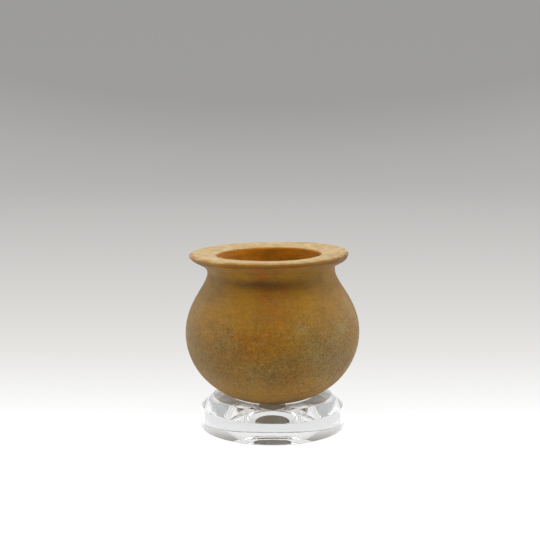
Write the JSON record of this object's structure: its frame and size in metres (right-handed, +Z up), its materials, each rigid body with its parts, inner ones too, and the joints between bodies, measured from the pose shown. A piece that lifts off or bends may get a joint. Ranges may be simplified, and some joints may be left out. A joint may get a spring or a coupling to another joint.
{
  "type": "offering pot",
  "caption": "Round-bellied clay pot with a narrow neck and a flat flaring lip, set in the dished top of a bevelled clear display block.",
  "frame": {"origin": "centre of the display block's flat underside", "axes": "+Z up along the block's axis, -Y towards the viewer of the picture, +X to the viewer's right"},
  "size_m": [0.1072, 0.1072, 0.1093],
  "materials": {
    "burnished_clay": "matte",
    "clear_acrylic": "polished",
    "grey_putty": "matte"
  },
  "bodies": {
    "root": {"pot": "burnished_clay", "stand": "clear_acrylic", "pad": "grey_putty"}
  },
  "joints": []
}
